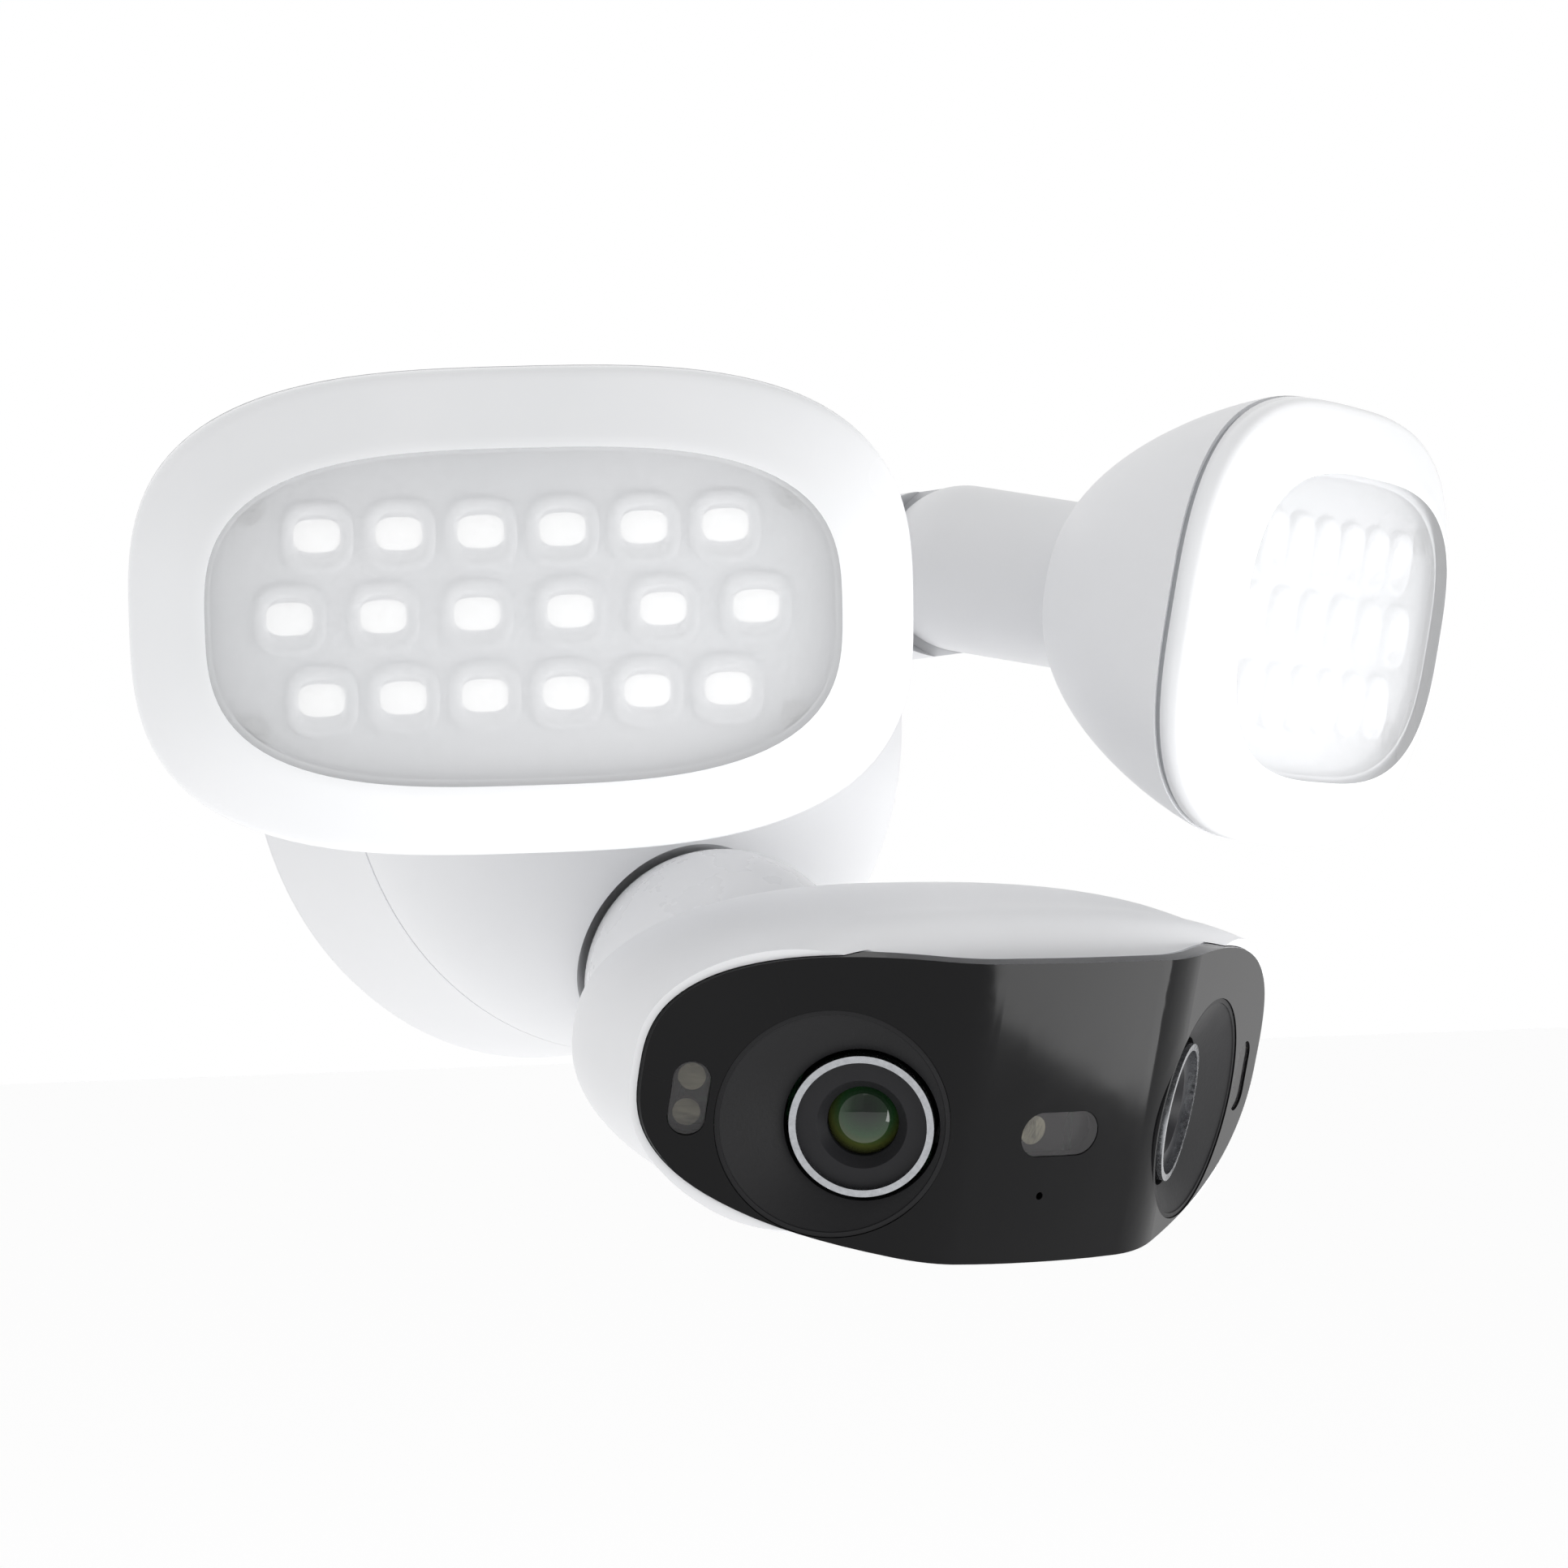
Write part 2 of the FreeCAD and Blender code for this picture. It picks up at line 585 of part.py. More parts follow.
def lamps():
    bowl = loft(bowl_sections(0.0))
    shared = lamp_common(bowl)
    for side, name in ((-1, "left"), (1, "right")):
        frame = lamp_frame(side)
        for part, shape in shared.items():
            emit(name + "_" + part, place(shape, frame))
        emit(name + "_lamp_arm", place(lamp_arm(side, bowl), frame))
        emit(name + "_pivot_bolt", place(pivot_bolt(side), frame))
        emit(name + "_knuckle", place(knuckle(side), knuckle_frame(side)))
        emit(name + "_swivel_nut", place(swivel_nut(), knuckle_frame(side)))


# ---------------------------------------------------------------- neck
HUB_R = 10.0
PIN_R = 3.0
WEB_HALF = 5.0


def neck():
    ball = V(0, BALL_Y, BALL_Z)
    body = Part.makeSphere(BALL_R, ball)
    slot = box(-SLOT_HALF, SLOT_HALF, BALL_Y - 40, BALL_Y + HUB_R + 1.5, BALL_Z - 40, BALL_Z + HUB_R + 4.5)
    body = body.cut(slot)
    bolt = rod(DRAW_R, V(0, BALL_Y + BALL_R - 3, BALL_Z), AXIS_Y, 13.0)
    body = body.fuse(bolt).removeSplitter()
    body = body.cut(rod(PIN_R, V(-40, BALL_Y, BALL_Z), AXIS_X, 80))
    emit("neck_ball", body)
    pin = rod(PIN_R, V(-21, BALL_Y, BALL_Z), AXIS_X, 42)
    emit("tilt_pin", pin)
    start = BALL_R + (SCOOP_R - BALL_R) + CUP_T
    washer_r = start + 1.0 + JOINT_GAP
    cap = Part.makeSphere(washer_r + 1.6, ball).cut(Part.makeSphere(washer_r - 1.0, ball))
    cap = cap.common(rod(DRAW_CAP_R, ball, AXIS_Y, 60))
    hexagon = []
    for k in range(6):
        a = k * math.pi / 3
        hexagon.append(V(DRAW_NUT_R * math.cos(a), BALL_Y + washer_r + 1.2, BALL_Z + DRAW_NUT_R * math.sin(a)))
    nut = Part.Face(Part.makePolygon(hexagon + hexagon[:1])).extrude(V(0, DRAW_NUT_T, 0))
    nut = cap.fuse(nut).removeSplitter().cut(rod(DRAW_R, ball, AXIS_Y, 60))
    emit("draw_nut", nut)


# ---------------------------------------------------------------- camera head
def round_off(radius, along):
    """Drop of a quarter-round at a distance along it from its start."""
    along = min(radius, max(0.0, along))
    return radius - math.sqrt(radius ** 2 - along ** 2)


def head_sections(inset, front=-16.0):
    """Shell sections from front to back: straight sides, then rounded rear corners and edges."""
    back = HEAD_BACK - inset
    corner = HEAD_CORNER - inset
    edge = HEAD_EDGE - inset
    sections = []
    for share in (0.0, 0.28, 0.44, 0.58, 0.70, 0.80, 0.88, 0.94, 0.98, 1.0):
        y = front + (back - front) * share
        side_off = round_off(corner, y - back + corner)
        edge_off = round_off(edge, y - back + edge)
        rise = max(0.0, y - 22.0) / (HEAD_BACK - 22.0)
        top = HEAD_TOP - inset - 12.0 * rise ** 2 - edge_off
        bottom = HEAD_BOTTOM + inset + 5.0 * rise ** 2 + edge_off
        n = 3.0 - 0.7 * min(1.0, max(0.0, (y - 6.0) / 50.0))
        sections.append((y, HEAD_A - inset - side_off, (top - bottom) / 2.0, n, (top + bottom) / 2.0))
    return sections


def plan_prism(back_off, inset=0.0):
    """Everything behind the head's front surface, which is moved back by back_off."""
    rad = math.radians(LOBE_YAW)
    reach = 90.0
    slope = math.tan(rad)
    drop = back_off / math.cos(rad)
    blend = 6.0
    y_mid = LOBE_Y - 0.9 + back_off
    y_turn = LOBE_Y + back_off
    tangent_y = LOBE_Y + drop + slope * blend
    centre_arc = Part.Arc(V(-LOBE_X + blend, y_turn - 0.2, 0), V(0, y_mid, 0), V(LOBE_X - blend, y_turn - 0.2, 0))
    edges = [centre_arc.toShape()]
    for side in (-1, 1):
        start = V(side * (LOBE_X - blend), y_turn - 0.2, 0)
        end = V(side * (LOBE_X + blend), tangent_y, 0)
        curve = Part.BezierCurve()
        corner = V(side * LOBE_X, LOBE_Y + 0.5 * (back_off + drop), 0)
        curve.setPoles([start, corner, end])
        edges.append(curve.toShape())
        far = V(side * reach, LOBE_Y + drop + slope * (reach - LOBE_X), 0)
        edges.append(Part.makeLine(end, far))
        edges.append(Part.makeLine(far, V(side * reach, 120, 0)))
    edges.append(Part.makeLine(V(-reach, 120, 0), V(reach, 120, 0)))
    wire = Part.Wire(Part.__sortEdges__(edges))
    prism = Part.Face(wire).extrude(V(0, 0, 120))
    prism.translate(V(0, 0, -60))
    return prism


SPEAKER_Y = 17.0
SPEAKER_R = 12.0
SERVICE_X = -29.0
SERVICE_Y = 21.0
SERVICE_A = 13.0
SERVICE_B = 9.0
SERVICE_T = 1.3
FLOOR_Z = HEAD_BOTTOM + HEAD_WALL
SIDE_WINDOW_AT = 45.7    # along the lobe from its start
SIDE_WINDOW_H = 13.0
SIDE_WINDOW_W = 6.4
WINDOW_Z = 0.9
CENTRE_WINDOW_L = 16.4
CENTRE_WINDOW_H = 7.9
BUTTON_R = 1.6
MIC_X = -2.3
MIC_Z = -10.3


def lobe_local(side, along):
    """Frame on the front surface of a lens lobe, -Y pointing out, at a distance along the lobe."""
    rad = math.radians(LOBE_YAW)
    x = side * (LOBE_X + along * math.cos(rad))
    y = LOBE_Y + along * math.sin(rad)
    return shift(x, y, 0).multiply(turn(AXIS_Z, side * LOBE_YAW))


def side_window_cut(side, grow, depth, start):
    plate = stadium(SIDE_WINDOW_H + 2 * grow, SIDE_WINDOW_W + 2 * grow, depth)
    plate = place(plate, turn(AXIS_Y, 90))
    return place(plate, lobe_local(side, SIDE_WINDOW_AT).multiply(shift(0, start, WINDOW_Z)))


def centre_window_cut(grow, depth, start):
    plate = stadium(CENTRE_WINDOW_L + 2 * grow, CENTRE_WINDOW_H + 2 * grow, depth)
    return place(plate, shift(0, LOBE_Y - 1.2 + start, WINDOW_Z))


def cover_outline(inset, y_end):
    sections = [(y, a, b, n, z) for y, a, b, n, z in head_sections(inset) if y < y_end]
    return loft(sections)


def service_block(grow):
    """Column through the floor at the service opening."""
    return box(SERVICE_X - SERVICE_A - grow, SERVICE_X + SERVICE_A + grow, SERVICE_Y - SERVICE_B - grow,
               SERVICE_Y + SERVICE_B + grow, -32, -10)


def head_shell():
    outer = loft(head_sections(0.0))
    cavity = loft(head_sections(HEAD_WALL))
    body = outer.common(plan_prism(0.8)).cut(cavity)
    seat = cover_outline(COVER_LIP - 0.1, 45.0).cut(plan_prism(COVER_T + 0.8))
    body = body.cut(seat)
    holes = []
    for ring in range(3):
        count = 6 * ring if ring else 1
        for k in range(count):
            a = 2 * math.pi * k / count
            x = 4.0 * ring * math.cos(a)
            y = SPEAKER_Y + 4.0 * ring * math.sin(a)
            holes.append(rod(0.9, V(x, y, -32), AXIS_Z, 14))
    body = body.cut(Part.makeCompound(holes))
    body = body.cut(service_block(-2.0))
    body = body.cut(service_block(PLAY).cut(loft(head_sections(SERVICE_T + PLAY))))
    for side in (-1, 1):
        body = body.cut(bezel_hole(side, 8.0))
    solids = sorted(body.Solids, key=lambda s: -s.Volume)
    return solids[0]


def bezel_hole(side, depth):
    """Round clearance for a lens bezel, down to a depth behind the lobe's surface."""
    hole = rod(BEZEL_R + PLAY, V(0, -12, 0), AXIS_Y, 12 + depth)
    return place(hole, lobe_local(side, BEZEL_R + 0.6))


def front_cover():
    body = cover_outline(COVER_LIP, 45.0).common(plan_prism(0.0)).cut(plan_prism(COVER_T))
    for side in (-1, 1):
        body = body.cut(bezel_hole(side, 18.0))
        body = body.cut(side_window_cut(side, PLAY, 30, -12))
    body = body.cut(centre_window_cut(PLAY, 30, -12))
    body = body.cut(rod(0.7, V(MIC_X, -30, MIC_Z), AXIS_Y, 30))
    solids = sorted(body.Solids, key=lambda s: -s.Volume)
    return solids[0]


def circle_wire(radius, frame, y):
    circle = Part.Wire([Part.makeCircle(radius, V(0, 0, 0), AXIS_Y)])
    return place(circle, frame.multiply(shift(0, y, 0)))


def lens_bezel(side):
    """Eccentric dish from the lobe's round opening down to the lens ring."""
    rim = lobe_local(side, BEZEL_R + 0.6)
    core = lens_local(side)
    outer = Part.makeLoft([circle_wire(BEZEL_R, rim, 0.25), circle_wire(BEZEL_R, rim, 3.2),
                           circle_wire(BEZEL_BACK_R, core, 5.0)], True, True)
    dish = Part.makeLoft([circle_wire(BEZEL_R - 0.3, rim, -1.0), circle_wire(BEZEL_R - 0.9, rim, 0.5),
                          circle_wire(13.5, core, 0.6)], True, True)
    bore = place(rod(13.5, V(0, -8, 0), AXIS_Y, 30), core)
    return outer.cut(dish).cut(bore)


def lens_parts(side, name):
    frame = lens_frame(side)
    ring = tube(RING_R, 11.3, V(0, -0.6, 0), AXIS_Y, 2.2)
    emit(name + "_lens_ring", place(ring, frame))
    barrel = rod(RING_R, V(0, 1.6, 0), AXIS_Y, 14.4).fuse(rod(11.3, V(0, 0.8, 0), AXIS_Y, 3.0)).removeSplitter()
    barrel = barrel.cut(Part.makeCone(7.8, 6.2, 2.2, V(0, 0.8, 0), AXIS_Y))
    barrel = barrel.cut(rod(6.2, V(0, 3.0, 0), AXIS_Y, 5.0))
    barrel = barrel.cut(rod(4.0, V(0, 7.9, 0), AXIS_Y, 10.0))
    emit(name + "_lens_barrel", place(barrel, frame))
    dome_r = 9.0
    glass = Part.makeSphere(dome_r, V(0, 1.8 + dome_r, 0)).common(rod(6.15, V(0, 0, 0), AXIS_Y, 5.6))
    board = box(-12, 12, 16.0, 17.2, -12, 12)
    for x, z in ((-10, -10), (10, 10)):
        board = board.cut(rod(1.2, V(x, 15, z), AXIS_Y, 4))
    chip = box(-2.7, 2.7, 14.4, 16.0, -2.2, 2.2)
    return [place(shape, frame) for shape in (glass, board, chip)]


def spot_leds():
    leds = []
    for side in (-1, 1):
        for z in (WINDOW_Z + 3.2, WINDOW_Z - 3.2):
            dome = rod(2.4, V(0, 2.8, z), AXIS_Y, 2.2)
            leds.append(place(dome, lobe_local(side, SIDE_WINDOW_AT)))
    leds.append(rod(2.6, V(-4.0, LOBE_Y + 1.8, WINDOW_Z), AXIS_Y, 2.2))
    return Part.makeCompound(leds)


def bracket_flange():
    z = ball_in_head().z
    return box(-20, 20, HEAD_BACK - HEAD_WALL - 3.0, HEAD_BACK - HEAD_WALL, z + 0.5, z + 13.0)


def tilt_bracket():
    """Flat tongue on the head's rear wall, turning on the pin in the ball's slot."""
    ball = ball_in_head()
    half = SLOT_HALF - JOINT_GAP
    hub = rod(HUB_R, V(-half, ball.y, ball.z), AXIS_X, 2 * half)
    web = box(-half, half, HEAD_BACK - HEAD_WALL - 3.0, ball.y, ball.z - WEB_HALF, ball.z + WEB_HALF)
    body = fuse([hub, web, bracket_flange()])
    return body.cut(rod(PIN_R + RUNNING_FIT, V(-30, ball.y, ball.z), AXIS_X, 60))


def head():
    frame = head_frame()
    bracket = tilt_bracket()
    shell = head_shell()
    ball = ball_in_head()
    half = SLOT_HALF - JOINT_GAP
    web = box(-half, half, 50, ball.y, ball.z - WEB_HALF, ball.z + WEB_HALF)
    shell = shell.cut(web).cut(bracket_flange())
    emit("head_shell", place(shell, frame))
    emit("tilt_bracket", place(bracket, frame))
    emit("front_cover", place(front_cover(), frame))
    seal = cover_outline(COVER_LIP + 0.2, 45.0).cut(cover_outline(COVER_LIP + 1.9, 45.0))
    seal = seal.common(plan_prism(COVER_T)).cut(plan_prism(COVER_T + 0.8))
    for side in (-1, 1):
        seal = seal.cut(bezel_hole(side, 18.0))
    emit("head_seal", place(seal, frame))
    glasses = []
    boards = []
    chips = []
    windows = []
    for side, name in ((-1, "left"), (1, "right")):
        emit(name + "_lens_bezel", place(lens_bezel(side), frame))
        glass, board, chip = lens_parts(side, name)
        glasses.append(glass)
        boards.append(board)
        chips.append(chip)
        windows.append(place(side_window_cut(side, 0.0, 2.4, 0.4), frame))
    emit("lens_glasses", Part.makeCompound(glasses))
    emit("sensor_boards", Part.makeCompound(boards))
    emit("image_sensors", Part.makeCompound(chips))
    emit("side_windows", Part.makeCompound(windows))
    emit("centre_window", place(centre_window_cut(0.0, 2.4, 0.6), frame))
    emit("spot_leds", place(spot_leds(), frame))
    board = box(-44, 44, 40.0, 41.6, -13, 22)
    emit("main_board", place(board, frame))
    chips = [box(-14, 4, 37.2, 40.0, -4, 14), box(12, 24, 38.4, 40.0, 0, 12), box(-34, -22, 38.0, 40.0, 2, 12)]
    emit("main_board_chips", place(Part.makeCompound(chips), frame))
    speaker = rod(SPEAKER_R, V(0, SPEAKER_Y, FLOOR_Z + 0.8), AXIS_Z, 5.5)
    speaker = speaker.fuse(rod(7.5, V(0, SPEAKER_Y, FLOOR_Z + 6.3), AXIS_Z, 2.0)).removeSplitter()
    emit("speaker", place(speaker, frame))
    service(frame)


def service(frame):
    plate = service_block(0.0).common(loft(head_sections(0.0))).cut(loft(head_sections(SERVICE_T)))
    emit("service_cover", place(plate, frame))
    low = FLOOR_Z + 4.2
    board = box(SERVICE_X - 14, SERVICE_X + 14, SERVICE_Y - 9, SERVICE_Y + 9, low, low + 1.2)
    socket = box(SERVICE_X - 9, SERVICE_X + 4, SERVICE_Y - 6, SERVICE_Y + 6, low - 2.4, low)
    slot = box(SERVICE_X - 8, SERVICE_X + 3, SERVICE_Y - 7, SERVICE_Y + 4, low - 1.8, low - 0.8)
    switch = rod(2.8, V(SERVICE_X + 8, SERVICE_Y, low - 2.4), AXIS_Z, 2.4)
    unit = fuse([board, socket.cut(slot), switch])
    unit = unit.cut(rod(BUTTON_R + 0.1, V(SERVICE_X + 8, SERVICE_Y, low - 3.0), AXIS_Z, 2.8))
    emit("card_socket", place(unit, frame))
    button = rod(BUTTON_R, V(SERVICE_X + 8, SERVICE_Y, low - 3.6), AXIS_Z, 2.2)
    emit("reset_button", place(button, frame))


def main():
    os.makedirs("parts", exist_ok=True)
    canopy()
    power_supply()
    lamps()
    neck()
    head()
    print(len(BODIES), "nodes")


main()
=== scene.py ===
import json
import math

import bmesh
import bpy
from mathutils import Matrix, Vector


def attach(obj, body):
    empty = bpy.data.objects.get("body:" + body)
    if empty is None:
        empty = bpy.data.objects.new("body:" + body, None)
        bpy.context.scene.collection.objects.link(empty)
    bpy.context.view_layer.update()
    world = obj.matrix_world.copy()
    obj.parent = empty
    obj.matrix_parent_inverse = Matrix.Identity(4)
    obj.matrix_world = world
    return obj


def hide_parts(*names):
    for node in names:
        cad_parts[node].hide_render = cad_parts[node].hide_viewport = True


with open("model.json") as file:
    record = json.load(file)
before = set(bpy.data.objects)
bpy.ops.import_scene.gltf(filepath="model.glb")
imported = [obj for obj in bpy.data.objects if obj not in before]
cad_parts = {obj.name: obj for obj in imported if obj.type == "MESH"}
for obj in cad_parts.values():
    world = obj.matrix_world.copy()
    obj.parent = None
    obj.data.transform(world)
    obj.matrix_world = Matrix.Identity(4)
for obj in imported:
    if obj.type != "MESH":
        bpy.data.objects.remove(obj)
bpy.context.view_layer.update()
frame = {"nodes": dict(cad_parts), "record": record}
MM = 0.001

# ------------------------------------------------------- places, in metres and degrees, as in the CAD
LAMP_AT = (0.0880, -0.1354, 0.0186)
LAMP_YAW = 29.7
LAMP_PITCH = 9.3
LAMP_ROLL = 1.8
SEGMENTS = 128


def lamp_matrix(side):
    """Where a lamp's face sits at rest, side being -1 on the left and 1 on the right."""
    place = Matrix.Translation((side * LAMP_AT[0], LAMP_AT[1], LAMP_AT[2]))
    place = place @ Matrix.Rotation(math.radians(side * LAMP_YAW), 4, "Z")
    place = place @ Matrix.Rotation(math.radians(LAMP_PITCH), 4, "X")
    return place @ Matrix.Rotation(math.radians(side * LAMP_ROLL), 4, "Y")


# ---------------------------------------------------------------- material helpers
def new_material(name):
    material = bpy.data.materials.new(name)
    material.use_nodes = True
    tree = material.node_tree
    shader = tree.nodes["Principled BSDF"]
    return material, tree, shader


def object_noise(tree, scale, detail=4.0, rough=0.55):
    """Noise over the object's own coordinates."""
    place = tree.nodes.new("ShaderNodeTexCoord")
    noise = tree.nodes.new("ShaderNodeTexNoise")
    noise.inputs["Scale"].default_value = scale
    noise.inputs["Detail"].default_value = detail
    noise.inputs["Roughness"].default_value = rough
    tree.links.new(place.outputs["Object"], noise.inputs["Vector"])
    return noise.outputs["Fac"]


def ramp(tree, value, stops):
    """Colours at positions along value, the first and last of them at the ends."""
    node = tree.nodes.new("ShaderNodeValToRGB")
    node.color_ramp.elements[0].position = stops[0][0]
    node.color_ramp.elements[0].color = (*stops[0][1], 1.0)
    node.color_ramp.elements[1].position = stops[-1][0]
    node.color_ramp.elements[1].color = (*stops[-1][1], 1.0)
    for position, colour in stops[1:-1]:
        node.color_ramp.elements.new(position).color = (*colour, 1.0)
    tree.links.new(value, node.inputs["Fac"])
    return node.outputs["Color"]


def bump(tree, shader, height, strength, distance):
    """Surface relief from a height value."""
    node = tree.nodes.new("ShaderNodeBump")
    node.inputs["Strength"].default_value = strength
    node.inputs["Distance"].default_value = distance
    tree.links.new(height, node.inputs["Height"])
    tree.links.new(node.outputs["Normal"], shader.inputs["Normal"])


def shade(colour, factor):
    """Colour made lighter or darker."""
    return tuple(min(1.0, c * factor) for c in colour)


FINE_GRAIN = 2600.0
GRAIN_DEPTH = 0.00006
COAT_ROUGHNESS = 0.06


def moulded(name, colour, roughness, grain=0.12, grain_size=FINE_GRAIN, vary=0.05, coat=0.0, gloss=0.5):
    """Injection-moulded plastic: slow mottle in colour and roughness, fine spark-eroded grain."""
    material, tree, shader = new_material(name)
    slow = object_noise(tree, 22.0, 3.0)
    colours = ramp(tree, slow, [(0.3, shade(colour, 1.0 - vary)), (0.7, shade(colour, 1.0 + vary))])
    tree.links.new(colours, shader.inputs["Base Color"])
    low = roughness * 0.92
    high = roughness * 1.12
    shader.inputs["Specular IOR Level"].default_value = gloss
    patches = object_noise(tree, 60.0, 5.0)
    tree.links.new(ramp(tree, patches, [(0.35, (low,) * 3), (0.7, (high,) * 3)]), shader.inputs["Roughness"])
    bump(tree, shader, object_noise(tree, grain_size, 2.0), grain, GRAIN_DEPTH)
    if coat:
        shader.inputs["Coat Weight"].default_value = coat
        shader.inputs["Coat Roughness"].default_value = COAT_ROUGHNESS
    return material


def metal(name, colour, roughness, stretch=(1.0, 40.0, 1.0), scale=80.0):
    """Brushed or turned metal: fine stretched scratches in roughness and height."""
    material, tree, shader = new_material(name)
    place = tree.nodes.new("ShaderNodeTexCoord")
    mapping = tree.nodes.new("ShaderNodeMapping")
    mapping.inputs["Scale"].default_value = stretch
    noise = tree.nodes.new("ShaderNodeTexNoise")
    noise.inputs["Scale"].default_value = scale
    noise.inputs["Detail"].default_value = 6.0
    tree.links.new(place.outputs["Object"], mapping.inputs["Vector"])
    tree.links.new(mapping.outputs["Vector"], noise.inputs["Vector"])
    fac = noise.outputs["Fac"]
    colours = ramp(tree, fac, [(0.3, shade(colour, 0.86)), (0.7, shade(colour, 1.1))])
    tree.links.new(colours, shader.inputs["Base Color"])
    scratches = ramp(tree, fac, [(0.3, (roughness * 0.75,) * 3), (0.7, (roughness * 1.3,) * 3)])
    tree.links.new(scratches, shader.inputs["Roughness"])
    shader.inputs["Metallic"].default_value = 1.0
    bump(tree, shader, fac, 0.15, 0.00003)
    return material


def board_material():
    """Printed board: green solder mask over a faint grid of copper tracks."""
    material, tree, shader = new_material("circuit_board")
    place = tree.nodes.new("ShaderNodeTexCoord")
    brick = tree.nodes.new("ShaderNodeTexBrick")
    brick.inputs["Scale"].default_value = 260.0
    brick.inputs["Mortar Size"].default_value = 0.03
    brick.inputs["Color1"].default_value = (0.012, 0.10, 0.035, 1.0)
    brick.inputs["Color2"].default_value = (0.018, 0.13, 0.045, 1.0)
    brick.inputs["Mortar"].default_value = (0.06, 0.24, 0.10, 1.0)
    tree.links.new(place.outputs["Object"], brick.inputs["Vector"])
    tree.links.new(brick.outputs["Color"], shader.inputs["Base Color"])
    shader.inputs["Roughness"].default_value = 0.35
    bump(tree, shader, brick.outputs["Fac"], 0.2, 0.00004)
    return material


def diffuser_material(name, alpha, glow):
    """Frosted cover plastic, moulded clearer over the optics than in the bevel round them."""
    material, tree, shader = new_material(name)
    slow = object_noise(tree, 30.0, 2.0)
    colours = ramp(tree, slow, [(0.3, (0.93, 0.94, 0.955)), (0.7, (0.96, 0.965, 0.98))])
    tree.links.new(colours, shader.inputs["Base Color"])
    tree.links.new(ramp(tree, slow, [(0.3, (0.20,) * 3), (0.7, (0.28,) * 3)]), shader.inputs["Roughness"])
    shader.inputs["Alpha"].default_value = alpha
    shader.inputs["Specular IOR Level"].default_value = 0.3
    shader.inputs["Emission Color"].default_value = (0.97, 0.975, 1.0, 1.0)
    shader.inputs["Emission Strength"].default_value = glow
    bump(tree, shader, object_noise(tree, 1800.0, 2.0), 0.06, 0.00003)
    return material


def glowing(name, colour, strength, roughness):
    """Lightly grained surface that gives off a little light of its own colour."""
    material, tree, shader = new_material(name)
    grain = object_noise(tree, 900.0, 3.0)
    colours = ramp(tree, grain, [(0.3, shade(colour, 0.94)), (0.7, shade(colour, 1.03))])
    tree.links.new(colours, shader.inputs["Base Color"])
    shader.inputs["Roughness"].default_value = roughness
    shader.inputs["Emission Color"].default_value = (*colour, 1.0)
    shader.inputs["Emission Strength"].default_value = strength
    bump(tree, shader, grain, 0.05, 0.00003)
    return material


def lens_glass_material():
    """Coated front element: dark green, with a painted amber and purple sheen in its colour that changes
    with the viewing angle.
    """
    material, tree, shader = new_material("lens_glass")
    weight = tree.nodes.new("ShaderNodeLayerWeight")
    weight.inputs["Blend"].default_value = 0.35
    # Painted sheen: the colour runs through dark green, amber and purple as the surface turns away from the
    # view.
    colours = ramp(tree, weight.outputs["Facing"],
                   [(0.0, (0.004, 0.008, 0.005)), (0.10, (0.010, 0.045, 0.012)), (0.22, (0.05, 0.06, 0.012)),
                    (0.40, (0.012, 0.010, 0.010)), (0.75, (0.03, 0.012, 0.04))])
    tree.links.new(colours, shader.inputs["Base Color"])
    shader.inputs["Roughness"].default_value = 0.04
    shader.inputs["Coat Weight"].default_value = 0.25
    shader.inputs["Coat Roughness"].default_value = 0.02
    bump(tree, shader, object_noise(tree, 40.0, 1.0), 0.01, 0.00002)
    return material


def gloss_black():
    """Piano-black front cover with the faintest orange peel."""
    material, tree, shader = new_material("black_cover")
    slow = object_noise(tree, 14.0, 2.0)
    tree.links.new(ramp(tree, slow, [(0.3, (0.003, 0.003, 0.0035)), (0.7, (0.005, 0.005, 0.0055))]),
                   shader.inputs["Base Color"])
    tree.links.new(ramp(tree, object_noise(tree, 120.0, 4.0), [(0.3, (0.07,) * 3), (0.75, (0.11,) * 3)]),
                   shader.inputs["Roughness"])
    shader.inputs["Specular IOR Level"].default_value = 0.16
    bump(tree, shader, object_noise(tree, 90.0, 1.0), 0.02, 0.00002)
    return material


